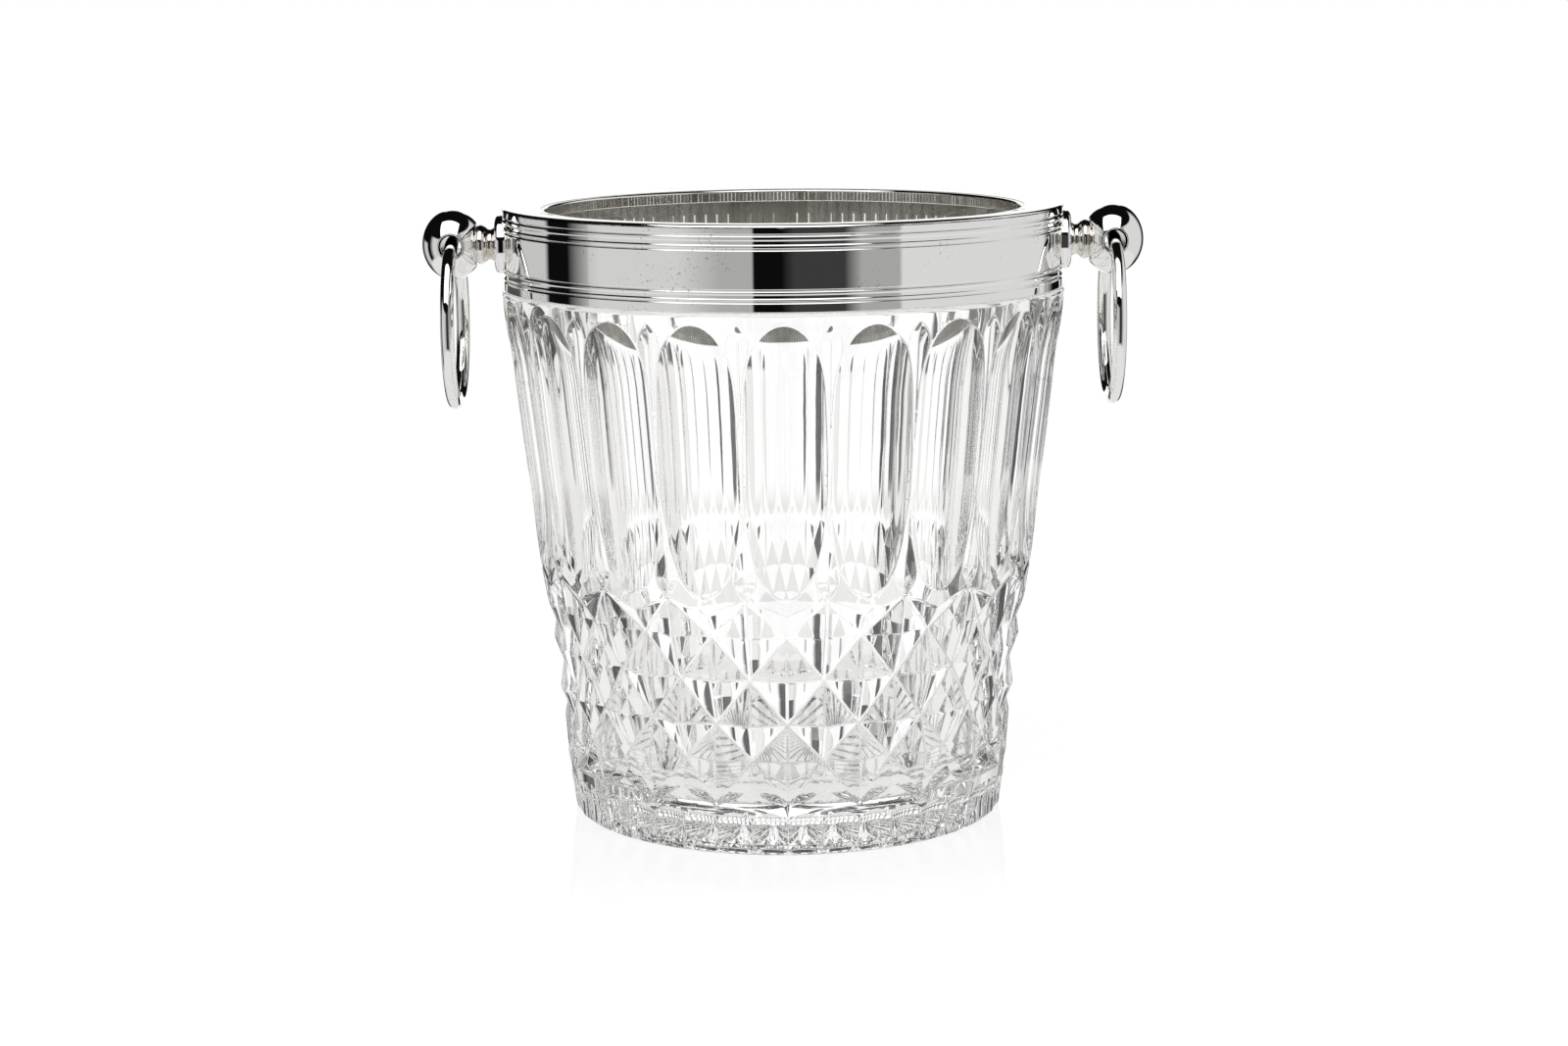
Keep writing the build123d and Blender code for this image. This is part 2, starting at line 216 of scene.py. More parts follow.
def soft_r(theta, z):
    """Radius of the wall with every crease rounded: the mean over a small disc."""
    total, count, reach = 0.0, 0, soften(z)
    for share, steps in ((0.0, 1), (0.5, 6), (1.0, 12)):
        for i in range(steps):
            turn = 2 * math.pi * (i + 0.5) / steps
            across = reach * share * math.cos(turn)
            up = reach * share * math.sin(turn)
            total = total + cuts(theta + np.degrees(across / cone_r(z)), z + up).min(axis=0)
            count += 1
    return total / count


def wall_point(theta, z):
    r = soft_r(theta, z)
    a = np.radians(theta)
    return np.stack([r * np.cos(a), r * np.sin(a), z], axis=-1)


def wall_normal(theta, z, step=0.04):
    """Outward normal of the softened wall, by differences."""
    turn = np.degrees(step / 90.0)
    around = wall_point(theta + turn, z) - wall_point(theta - turn, z)
    along = wall_point(theta, z + step) - wall_point(theta, z - step)
    n = np.cross(around, along)
    return n / np.linalg.norm(n, axis=-1, keepdims=True)


# ------------------------------------------------------------------ mesh of the cut wall
PER_DEGREE = 1.55                   # millimetres of the flat pattern for one degree
PATTERN_W = HALF * PER_DEGREE
COLUMNS = 6                         # columns of one half sector where the lathe work joins it


def winner(theta, z):
    """Which cut shapes the wall at each place; the two planes of a diamond row differ."""
    kinds = cuts(theta, z)
    kind = kinds.argmin(axis=0)
    for row, planes in enumerate(PLANES):
        here = (kind == 4) & (z <= LEVELS[row]) & (z >= LEVELS[row + 1])
        c, s = np.cos(np.radians(theta)), np.sin(np.radians(theta))
        first, second = [(d - n[2] * z) / (n[0] * c + n[1] * s) for n, d in planes]
        kind = np.where(here, 10 + 2 * row + (second > first), kind)
    return kind


def crease_points(spacing=1.25):
    """Points (x, z, nx, nz) on every crease, with the direction across it."""
    found = []
    fine_t = np.linspace(0, HALF, 601)
    fine_z = np.arange(0.0, PATCH_TOP, 0.03)
    scans = [(fine_t, np.full(fine_t.shape, z)) for z in np.arange(0.6, PATCH_TOP, spacing)]
    scans += [
        (np.full(fine_z.shape, x / PER_DEGREE), fine_z)
        for x in np.arange(spacing / 2, PATTERN_W, spacing)
    ]
    for theta, z in scans:
        kind = winner(theta, z)
        for i in np.nonzero(kind[1:] != kind[:-1])[0]:
            p = np.array([(theta[i] + theta[i + 1]) / 2 * PER_DEGREE, (z[i] + z[i + 1]) / 2])
            found.append((p, tuple(sorted((kind[i], kind[i + 1])))))
    kept = {}
    for p, pair in found:
        near = kept.setdefault(pair, [])
        if all(np.hypot(*(p - q)) > 0.7 * spacing for q in near):
            near.append(p)
    lines = []
    for near in kept.values():
        pts = np.array(near)
        for p in pts:
            dist = np.hypot(*(pts - p).T)
            close = pts[dist < 2.6 * spacing]
            if len(close) < 2:
                continue
            spread = np.linalg.svd(close - close.mean(axis=0))[2]
            lines.append((*p, *spread[1]))
    return lines


def pattern_points():
    """Points of one half sector in the flat pattern: creases first, then the filling."""
    kept = [
        (x, z) for z in (0.0, PATCH_TOP) for x in np.linspace(0, PATTERN_W, COLUMNS + 1)
    ]
    grid = {}

    def cell(p, size):
        return int(p[0] // size), int(p[1] // size)

    for p in kept:
        grid.setdefault(cell(p, 1.0), []).append(p)

    def add(x, z, room):
        if z < 0.35 or z > PATCH_TOP - 0.35 or x < -0.01 or x > PATTERN_W + 0.01:
            return
        x = 0.0 if x < room * 0.5 else PATTERN_W if x > PATTERN_W - room * 0.5 else x
        ci, cj = cell((x, z), 1.0)
        for i in (ci - 1, ci, ci + 1):
            for j in (cj - 1, cj, cj + 1):
                for q in grid.get((i, j), ()):
                    if math.hypot(q[0] - x, q[1] - z) < room:
                        return
        kept.append((x, z))
        grid.setdefault((ci, cj), []).append((x, z))

    rims = (0.0, 0.5, 1.15)
    for level in LEVELS:
        for x in (0.0, PATTERN_W):
            add(x, level, 0.1)
    for z in np.arange(0.5, PATCH_TOP, 1.25):
        for rim in (share * float(soften(z)) for share in rims):
            if rim == 0 or z < LEVELS[0] + 1:
                add(rim, z, 0.15)
            add(PATTERN_W - rim, z, 0.15)
    lines = crease_points()
    for share in rims:
        for x, z, nx, nz in lines:
            rim = share * float(soften(z))
            for side in ((1,) if rim == 0 else (-1, 1)):
                add(x + side * rim * nx, z + side * rim * nz, 0.16)
    for z in np.arange(0.8, PATCH_TOP, 2.0):
        for x in np.arange(0.0, PATTERN_W + 0.1, PATTERN_W / 10):
            add(x, z, 0.75)
    return kept


def cut_wall():
    """Vertices, normals and triangles of the whole cut wall."""
    pattern = pattern_points()
    flat, _, tris, *_ = delaunay_2d_cdt([Vector(p) for p in pattern], [], [], 0, 1e-5)
    x, z = np.array([v[:] for v in flat]).T
    theta = x / PER_DEGREE
    points, normals = wall_point(theta, z), wall_normal(theta, z)
    tris = np.array(tris)
    flip = np.array([1.0, -1.0, 1.0])
    all_p, all_n, all_f = [], [], []
    for i in range(FLUTES):
        a = math.radians(i * SECTOR)
        turn = np.array([[math.cos(a), math.sin(a), 0], [-math.sin(a), math.cos(a), 0], [0, 0, 1]])
        for p, n, f in (
            (points, normals, tris),
            (points * flip, normals * flip, tris[:, ::-1]),
        ):
            all_f.append(f + len(points) * len(all_p))
            all_p.append(p @ turn)
            all_n.append(n @ turn)
    return np.concatenate(all_p), np.concatenate(all_n), np.concatenate(all_f)


# ------------------------------------------------------------------ lathe work
def rounded(corners, step=12.0):
    """Profile through (a, b, radius) corners, each rounded: rows of (a, b, na, nb).

    The material is on the left of the way the corners run, so normals point right.
    """
    pts = [np.array(c[:2], float) for c in corners]
    rows = []
    for i, corner in enumerate(corners):
        before = pts[i] - pts[i - 1] if i else pts[1] - pts[0]
        after = pts[i + 1] - pts[i] if i + 1 < len(pts) else before
        before, after = before / np.linalg.norm(before), after / np.linalg.norm(after)
        turn = math.atan2(before[0] * after[1] - before[1] * after[0], before @ after)
        radius = corner[2] if len(corner) > 2 else 0.0
        if abs(turn) < 1e-6 or radius == 0 or i in (0, len(pts) - 1):
            way = before if i else after
            rows.append((*pts[i], way[1], -way[0]))
            continue
        start = pts[i] - before * radius * math.tan(abs(turn) / 2)
        side = math.copysign(1.0, turn)
        centre = start + side * radius * np.array([-before[1], before[0]])
        steps = max(2, int(math.degrees(abs(turn)) / step) + 1)
        for k in range(steps + 1):
            a = turn * k / steps
            way = np.array([
                before[0] * math.cos(a) - before[1] * math.sin(a),
                before[0] * math.sin(a) + before[1] * math.cos(a),
            ])
            right = np.array([way[1], -way[0]])
            rows.append((*(centre + side * radius * right), *right))
    return np.array(rows)


def lathe(profile, columns, first=0.0):
    """Vertices, normals and quads of a profile of (r, h, nr, nh) turned about +Z."""
    angle = np.radians(first) + np.arange(columns) * 2 * math.pi / columns
    c, s = np.cos(angle)[:, None], np.sin(angle)[:, None]
    r, h, nr, nh = profile.T
    points = np.stack([r * c, r * s, h + 0 * c], axis=-1).reshape(-1, 3)
    normals = np.stack([nr * c, nr * s, nh + 0 * c], axis=-1).reshape(-1, 3)
    rows = len(profile)
    quads = []
    for i in range(columns):
        a, b = i * rows, (i + 1) % columns * rows
        quads += [(a + j, b + j, b + j + 1, a + j + 1) for j in range(rows - 1)]
    return points, normals, quads


def to_handle_axis(vectors, side):
    """Turns lathe work from +Z to the handle's axis, pointing away from the bucket."""
    v = np.asarray(vectors)
    return np.stack([side * v[:, 2], -side * v[:, 1], v[:, 0]], axis=-1)


def weld(name, parts, material):
    """One object from (points, normals, faces) parts, its touching vertices merged."""
    points, normals, faces, base = [], [], [], 0
    for p, n, f in parts:
        points.append(p)
        normals.append(n)
        faces += [tuple(int(v) + base for v in face) for face in f]
        base += len(p)
    points, normals = np.concatenate(points), np.concatenate(normals)
    mesh = bpy.data.meshes.new(name)
    mesh.from_pydata((points * MM).tolist(), [], faces)
    mark = mesh.attributes.new("made_normal", "FLOAT_VECTOR", "POINT")
    mark.data.foreach_set("vector", normals.astype(np.float32).ravel())
    bm = bmesh.new()
    bm.from_mesh(mesh)
    bmesh.ops.remove_doubles(bm, verts=bm.verts, dist=1e-6)
    bmesh.ops.dissolve_degenerate(bm, edges=bm.edges, dist=1e-7)
    bm.to_mesh(mesh)
    bm.free()
    mesh.validate()
    kept = np.zeros(len(mesh.vertices) * 3, np.float32)
    mesh.attributes["made_normal"].data.foreach_get("vector", kept)
    mesh.attributes.remove(mesh.attributes["made_normal"])
    mesh.polygons.foreach_set("use_smooth", [True] * len(mesh.polygons))
    mesh.normals_split_custom_set_from_vertices(kept.reshape(-1, 3).tolist())
    mesh.materials.append(material)
    obj = bpy.data.objects.new(name, mesh)
    bpy.context.scene.collection.objects.link(obj)
    return obj


def star_cut(points, normals, faces):
    """Sinks a star of V cuts, one below each ridge of the foot, into the recess."""
    r = np.hypot(points[:, 0], points[:, 1])
    angle = np.degrees(np.arctan2(points[:, 1], points[:, 0]))
    depth = STAR_DEPTH * np.clip(r / STAR_HUB, 0, 1) * np.clip((STAR_EDGE - r) / 4, 0, 1)
    phase = (angle / HALF + 1e-6) % 1
    points[:, 2] += depth * abs(2 * phase - 1)
    side = np.where((phase < 0.05) | (abs(phase - 0.5) < 0.05), 0, np.sign(0.5 - phase))
    slope = side * depth / (np.radians(HALF / 2) * np.maximum(r, 1))
    a = np.radians(angle)
    tilt = np.stack([-slope * -np.sin(a), -slope * np.cos(a), 0 * a], axis=-1)
    normals = normals + np.where(depth[:, None] > 0, tilt, 0)
    return points, normals / np.linalg.norm(normals, axis=1, keepdims=True), faces


def glass_body(material):
    """The whole cut glass: wall, shoulder, neck, smooth inside, floor and foot."""
    wall = cut_wall()
    turns = 2 * FLUTES * COLUMNS
    corner_r = cone_r(SHOULDER_Z)
    inside_slope = (MOUTH_R - FLOOR_R) / (NECK_TOP - FLOOR_Z)
    mouth_way = [
        (FLOOR_R + inside_slope * (z - FLOOR_Z), z) for z in np.linspace(200, 40, 9)
    ]
    inside = rounded([
        (cone_r(PATCH_TOP), PATCH_TOP),
        (corner_r, SHOULDER_Z, 1.6),
        (NECK_R, SHOULDER_Z, 0.3),
        (NECK_R, NECK_TOP, 1.0),
        (MOUTH_R, NECK_TOP, 1.0),
        *mouth_way,
        (FLOOR_R, FLOOR_Z, FLOOR_FILLET),
        *[(r, FLOOR_Z) for r in (50, 40, 30, 20, 10, 4, 0)],
    ], step=8.0)
    rest_edge = cone_r(0) - FOOT_EDGE - 3.5
    under = rounded([
        *[(r, RECESS) for r in (0, 3, 8, STAR_HUB, 20, 30, 40, 50, 54, STAR_EDGE)],
        (REST_R - RECESS, RECESS, 0.6),
        (REST_R, 0, 1.0),
        (rest_edge, 0),
    ])
    theta = np.arange(turns) * 360.0 / turns
    rim = wall_point(theta, np.zeros(turns))
    ring = np.stack([
        rest_edge * np.cos(np.radians(theta)), rest_edge * np.sin(np.radians(theta)), 0 * theta
    ], axis=-1)
    down = np.tile([0.0, 0.0, -1.0], (2 * turns, 1))
    strip = [(i, (i + 1) % turns, turns + (i + 1) % turns, turns + i) for i in range(turns)]
    sole = (np.concatenate([ring, rim]), down, strip)
    parts = [wall, lathe(inside, turns), star_cut(*lathe(under, turns)), sole]
    return weld("cut_glass", parts, material)


# ------------------------------------------------------------------ the metal pieces
def collar_face(z):
    """Outer radius of the collar: two groups of fine beads between turned grooves."""
    r = np.full(z.shape, COLLAR_R)
    for drop in GROOVES:
        r = r - GROOVE_DEPTH * np.exp(-(((z - COLLAR_TOP + drop) / GROOVE_HALF) ** 2))
    for high, low in CHANNELS:
        into = np.tanh((COLLAR_TOP - high - z) / CHANNEL_EASE)
        out = np.tanh((z - COLLAR_TOP + low) / CHANNEL_EASE)
        r = r - CHANNEL_DEPTH * (into + out) / 2
    return r


def collar(material):
    """Sheet channel over the glass neck: face, top, inner skirt and its inside."""
    inside, skirt_out = COLLAR_R - SHEET, SKIRT_R + SHEET
    middle = (SHOULDER_Z + COLLAR_TOP) / 2
    steps = [SHOULDER_Z + 0.6, COLLAR_TOP - 1.2]
    for drop in (*GROOVES, *CHANNELS[0], *CHANNELS[1]):
        steps += list(COLLAR_TOP - drop + np.linspace(-2.4, 2.4, 21) * GROOVE_HALF)
    z = np.unique(np.concatenate([steps, np.linspace(steps[0], steps[1], 60)]))
    z = z[(z >= steps[0]) & (z <= steps[1])]
    slope = (collar_face(z + 0.01) - collar_face(z - 0.01)) / 0.02
    size = np.hypot(1, slope)
    face = np.stack([collar_face(z), z, 1 / size, -slope / size], axis=-1)
    below = rounded([
        (inside, middle), (inside, SHOULDER_Z, 0.2), (COLLAR_R, SHOULDER_Z, 0.35), (COLLAR_R, z[0])
    ])
    above = rounded([
        (COLLAR_R, z[-1]),
        (COLLAR_R, COLLAR_TOP - 0.35, TOP_EDGE),
        (COLLAR_R - 5, COLLAR_TOP, 16),
        (SKIRT_R, COLLAR_TOP - TOP_FALL, 1.0),
        (SKIRT_R, COLLAR_TOP - SKIRT_DEPTH, 0.3),
        (skirt_out, COLLAR_TOP - SKIRT_DEPTH, 0.3),
        (skirt_out, COLLAR_TOP - SHEET, 0.2),
        (inside, COLLAR_TOP - SHEET, 0.2),
        (inside, middle),
    ], step=9.0)
    profile = np.concatenate([below[:-1], face, above[1:]])
    return weld("plated_collar", [lathe(profile, 288)], material)


def neck_lining(material):
    """Bright foil sleeve round the glass neck, between it and the plaster."""
    low, high = SHOULDER_Z + 0.4, LINING_TOP
    profile = rounded([
        (NECK_R + SEAT_GAP, high),
        (NECK_R + SEAT_GAP, (low + high) / 2, 0),
        (NECK_R + SEAT_GAP, low),
    ])
    return weld("neck_lining", [lathe(profile, 240)], material)


def handle_lathe(name, profile, side, material, seat=None):
    """Piece turned about the handle's axis; seat keeps it off the collar's round wall."""
    points, normals, faces = lathe(profile, 96)
    if seat:
        points[:, 2] = np.maximum(points[:, 2], np.sqrt(seat**2 - points[:, 1] ** 2))
    points, normals = to_handle_axis(points, side), to_handle_axis(normals, side)
    return weld(name, [(points + (0, 0, HANDLE_Z), normals, faces)], material)


def escutcheon(side, name, material):
    """Low disc with a turned step, seated on the collar."""
    start, end = COLLAR_R - 1, ESCUTCHEON_END
    profile = rounded([
        (STUD_R, start), (ESCUTCHEON_R, start, 0.1), (ESCUTCHEON_R, end, 1.9),
        (8.2, end, 0.3), (7.9, end - DISC_STEP, 0.3),
        (COVE_START_R, end - DISC_STEP, 0.2), (STUD_R, end - DISC_STEP),
    ])
    return handle_lathe(name, profile, side, material, seat=COLLAR_R + SEAT_GAP)


def neck(side, name, material):
    """Turned neck: foot, cove, bead and a step under the ball."""
    foot, bead_in, bead_out = ESCUTCHEON_END - DISC_STEP, BEAD_X[0], BEAD_X[1]
    t = np.linspace(0, 1, 15)
    cove_r = COVE_START_R + (COVE_R - COVE_START_R) * np.sin(math.pi * t)
    cove = np.stack([cove_r, foot + (bead_in - foot) * t], axis=-1)
    cove[:, 0] += -0.25 * t
    turn = np.linspace(-1, 1, 11)
    bead_r = BEAD_EDGE_R + BEAD_SWELL * np.sqrt(1 - (0.98 * turn) ** 2) ** 1.3
    bead_x = (bead_in + bead_out) / 2 + (bead_out - bead_in) / 2 * turn
    bead = np.stack([bead_r, bead_x], axis=-1)
    outline = np.concatenate([
        [(STUD_R, STUD_END), (STUD_R, foot - SEAT_GAP), (7.1, foot - SEAT_GAP)], cove, bead,
        [(6.5, bead_out + 0.1), (SPIGOT_R, bead_out + 0.1)],
    ])
    way = np.gradient(outline, axis=0)
    way /= np.linalg.norm(way, axis=1, keepdims=True)
    profile = np.column_stack([outline, way[:, 1], -way[:, 0]])
    return handle_lathe(name, profile, side, material)


def ball_loop(angle):
    """Closed loop (distance from the hole's axis, y) through the ball at one angle."""
    reach = 1 / math.hypot(math.cos(angle) / BALL_HALF, math.sin(angle) / BALL_R)
    slope = (RING_MOUTH_R - RING_HOLE_R) / (BALL_R - RING_MOUTH_Y)
    low, high = RING_MOUTH_Y, BALL_R
    for _ in range(40):
        y = (low + high) / 2
        skin = reach * math.sqrt(1 - (y / BALL_R) ** 2)
        if skin > RING_HOLE_R + slope * (y - RING_MOUTH_Y):
            low = y
        else:
            high = y
    tilt = math.asin(y / BALL_R)
    rim = np.array([reach * math.cos(tilt), y])
    inner = np.array([RING_HOLE_R, RING_MOUTH_Y])
    flare_end = rim + (inner - rim) / np.linalg.norm(inner - rim) * KNOB_EDGE
    skin_tilt = tilt - KNOB_EDGE / BALL_R
    skin_end = np.array([reach * math.cos(skin_tilt), BALL_R * math.sin(skin_tilt)])
    skin = [
        (reach * math.cos(a), BALL_R * math.sin(a))
        for a in np.linspace(-skin_tilt, skin_tilt, 61)
    ]
    corner = [
        tuple((1 - t) ** 2 * skin_end + 2 * t * (1 - t) * rim + t**2 * flare_end)
        for t in np.linspace(0, 1, 7)[1:]
    ]
    hole = [tuple(inner + (0.4, 0.2)), tuple(inner - (0, 0.4)), (RING_HOLE_R, 5.0)]
    top = corner + hole
    return [(RING_HOLE_R, 0.0)] + [(d, -y) for d, y in reversed(top)] + skin + top


def ball(side, name, material, hole_material):
    """Oblate knob with a flared hole for the ring, flattened against the neck."""
    angles = np.arange(160) * 2 * math.pi / 160
    grid = np.array([ball_loop(a) for a in angles])
    d, y = grid[..., 0], grid[..., 1]
    x, z = d * np.cos(angles)[:, None], d * np.sin(angles)[:, None]
    shoulder, ease = BEAD_X[1] - BALL_X, 0.2
    x = shoulder + ease * np.logaddexp(0, (x - shoulder) / ease)
    points = np.stack([x, y, z], axis=-1)
    along = np.roll(points, -1, axis=1) - np.roll(points, 1, axis=1)
    around = np.roll(points, -1, axis=0) - np.roll(points, 1, axis=0)
    normals = np.cross(along, around)
    normals /= np.linalg.norm(normals, axis=-1, keepdims=True) + 1e-12
    count, rows = d.shape
    faces = [
        (i * rows + j, i * rows + (j + 1) % rows,
         (i + 1) % count * rows + (j + 1) % rows, (i + 1) % count * rows + j)
        for i in range(count) for j in range(rows)
    ]
    points, normals = points.reshape(-1, 3) + (BALL_X, 0, HANDLE_Z), normals.reshape(-1, 3)
    if side < 0:
        points, normals = points * (-1, 1, 1), normals * (-1, 1, 1)
        faces = [face[::-1] for face in faces]
    knob = weld(name, [(points, normals, faces)], material)
    # The faces inside the bore take the second, dark material.
    knob.data.materials.append(hole_material)
    for face in knob.data.polygons:
        x, _, z = face.center / MM
        if math.hypot(x - side * BALL_X, z - HANDLE_Z) < RING_HOLE_R + 0.05:
            face.material_index = 1
    return knob


def ring(side, name, material):
    """Round ring through the ball, with the fine line of its closing joint."""
    turns, sides = 192, 36
    u = np.arange(turns) * 2 * math.pi / turns
    joint = math.radians(RING_JOINT)
    offset = np.linspace(-1, 1, 9) * 0.5 / RING_R
    u = np.sort(np.concatenate([u[abs(u - joint) > 0.6 / RING_R], joint + offset]))
    rod = RING_ROD_R - JOINT_DEPTH * np.exp(-(((u - joint) * RING_R / JOINT_WIDTH) ** 2))
    v = np.arange(sides) * 2 * math.pi / sides
    out = RING_R + rod[:, None] * np.cos(v)
    points = np.stack([
        rod[:, None] * np.sin(v), out * np.sin(u)[:, None], out * np.cos(u)[:, None]
    ], axis=-1)
    normals = np.stack([
        np.sin(v) + 0 * u[:, None], np.cos(v) * np.sin(u)[:, None], np.cos(v) * np.cos(u)[:, None]
    ], axis=-1)
    count = len(u)
    faces = [
        (i * sides + j, i * sides + (j + 1) % sides,
         (i + 1) % count * sides + (j + 1) % sides, (i + 1) % count * sides + j)
        for i in range(count) for j in range(sides)
    ]
    centre = (side * BALL_X, 0, HANDLE_Z + RING_RISE - RING_R)
    return weld(name, [(points.reshape(-1, 3) + centre, normals.reshape(-1, 3), faces)], material)


# ------------------------------------------------------------------ materials
def add_node(tree, kind, inputs=None, **settings):
    """One shader node; inputs may be values or the sockets of other nodes."""
    node = tree.nodes.new(kind)
    for key, value in settings.items():
        setattr(node, key, value)
    for key, value in (inputs or {}).items():
        if isinstance(value, bpy.types.NodeSocket):
            tree.links.new(value, node.inputs[key])
        else:
            node.inputs[key].default_value = value
    return node


def surface(name, **inputs):
    """Material with one principled shader; returns it with its tree and shader."""
    material = bpy.data.materials.new(name)
    material.use_nodes = True
    tree = material.node_tree
    shader = tree.nodes["Principled BSDF"]
    for key, value in inputs.items():
        shader.inputs[key.replace("_", " ")].default_value = value
    return material, tree, shader


def noise(tree, scale, detail=3.0, stretch=(1, 1, 1)):
    """Value of a noise in the object's own metres."""
    place_at = add_node(tree, "ShaderNodeTexCoord").outputs["Object"]
    spread = add_node(tree, "ShaderNodeMapping", {"Vector": place_at, "Scale": stretch})
    made = add_node(
        tree, "ShaderNodeTexNoise",
        {"Vector": spread.outputs["Vector"], "Scale": scale, "Detail": detail},
    )
    return made.outputs["Fac"]


def span(tree, value, low, high, out_low=0.0, out_high=1.0):
    """Value spread from low..high to out_low..out_high, clamped."""
    made = add_node(
        tree, "ShaderNodeMapRange",
        {"Value": value, "From Min": low, "From Max": high, "To Min": out_low, "To Max": out_high},
    )
    return made.outputs["Result"]


def blend(tree, fac, first, second):
    """Colour between two colours or sockets."""
    made = add_node(tree, "ShaderNodeMix", data_type="RGBA")
    for index, value in ((0, fac), (6, first), (7, second)):
        if isinstance(value, bpy.types.NodeSocket):
            tree.links.new(value, made.inputs[index])
        else:
            made.inputs[index].default_value = value
    return made.outputs[2]


def crystal_material():
    """Clear cut glass with the faint waviness of hand polishing."""
    material, tree, shader = surface(
        "cut_crystal", Base_Color=(1, 1, 1, 1), Roughness=0.0, IOR=1.56, Transmission_Weight=1.0
    )
    bump = add_node(
        tree, "ShaderNodeBump",
        {"Height": noise(tree, 55, 2.0), "Strength": 0.035, "Distance": 0.002},
    )
    tree.links.new(bump.outputs["Normal"], shader.inputs["Normal"])
    return material


def silver_material(name, colour, wear, roughness):
    """Polished plate: small tarnish specks, faint smears and a few rubbed patches."""
    material, tree, shader = surface(name, Metallic=1.0)
    specks = span(tree, noise(tree, 900, 2.0), 0.62, 0.68)
    patches = span(tree, noise(tree, 55, 3.0), 0.54, 0.62)
    spots = add_node(tree, "ShaderNodeMath", {0: specks, 1: patches}, operation="MULTIPLY")
    smears = span(tree, noise(tree, 28, 5.0, (1, 1, 0.35)), 0.35, 0.75)
    tone = blend(tree, spots.outputs[0], (*colour, 1), (*[c * (1 - wear) for c in colour], 1))
    tree.links.new(tone, shader.inputs["Base Color"])
    dull = add_node(
        tree, "ShaderNodeMath", {0: spots.outputs[0], 1: 0.22, 2: roughness},
        operation="MULTIPLY_ADD",
    )
    total = add_node(
        tree, "ShaderNodeMath", {0: smears, 1: roughness, 2: dull.outputs[0]},
        operation="MULTIPLY_ADD",
    )
    tree.links.new(total.outputs[0], shader.inputs["Roughness"])
    return material


def worn_material():
    """Plate rubbed thin over brass: warmer, duller, brown in random patches."""
    material, tree, shader = surface("worn_plate", Metallic=1.0)
    rubbed = span(tree, noise(tree, 160, 5.0), 0.45, 0.7)
    tone = blend(tree, rubbed, (0.84, 0.82, 0.78, 1), (0.52, 0.46, 0.38, 1))
    tree.links.new(tone, shader.inputs["Base Color"])
    tree.links.new(span(tree, rubbed, 0, 1, 0.05, 0.16), shader.inputs["Roughness"])
    return material


def brass_material():
    """Bare brass of the hidden washer and nut, a little dulled."""
    material, tree, shader = surface("bare_brass", Metallic=1.0)
    dull = span(tree, noise(tree, 240, 4.0), 0.35, 0.65)
    tone = blend(tree, dull, (0.80, 0.62, 0.32, 1), (0.52, 0.38, 0.18, 1))
    tree.links.new(tone, shader.inputs["Base Color"])
    tree.links.new(span(tree, dull, 0, 1, 0.2, 0.42), shader.inputs["Roughness"])
    return material


def plaster_material():
    """Setting plaster behind the collar: pale, grainy, a little stained."""
    material, tree, shader = surface("plaster", Roughness=0.85)
    stain = span(tree, noise(tree, 70, 6.0), 0.38, 0.66)
    tone = blend(tree, stain, (0.62, 0.59, 0.52, 1), (0.40, 0.37, 0.31, 1))
    tree.links.new(tone, shader.inputs["Base Color"])
    bump = add_node(
        tree, "ShaderNodeBump",
        {"Height": noise(tree, 900, 4.0), "Strength": 0.4, "Distance": 0.0004},
    )
    tree.links.new(bump.outputs["Normal"], shader.inputs["Normal"])
    return material


# ------------------------------------------------------------------ the object
def repaint(name, material):
    """Gives a CAD node that stays in view its procedural material."""
    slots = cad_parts[name].data.materials
    slots.clear()
    slots.append(material)


def build_object():
    glass = crystal_material()
    plate = silver_material("silver_plate", (0.93, 0.925, 0.91), 0.35, 0.012)
    worn, brass, plaster = worn_material(), brass_material(), plaster_material()
    # Dark metal for the bore of each knob's hole, far darker than the plate outside it.
    dark_hole = silver_material("dark_hole_metal", (0.10, 0.09, 0.08), 0.5, 0.12)
    place(glass_body(glass), "bucket", "crystal", "glass_body")
    place(collar(plate), "bucket", "silver_plate", "collar")
    place(neck_lining(plate), "bucket", "silver_plate")
    for side, word in ((-1, "left"), (1, "right")):
        disc = escutcheon(side, f"{word}_disc", plate)
        place(disc, "bucket", "silver_plate", f"{word}_escutcheon")
        place(neck(side, f"{word}_turned_neck", worn), "bucket", "worn_plate", f"{word}_neck")
        knob = ball(side, f"{word}_knob", plate, dark_hole)
        place(knob, "bucket", "silver_plate", f"{word}_ball")
        loop = ring(side, f"{word}_hanging_ring", plate)
        place(loop, f"{word}_ring", "silver_plate", f"{word}_ring")
        for name in (f"{word}_washer", f"{word}_nut"):
            repaint(name, brass)
    repaint("cement_bed", plaster)


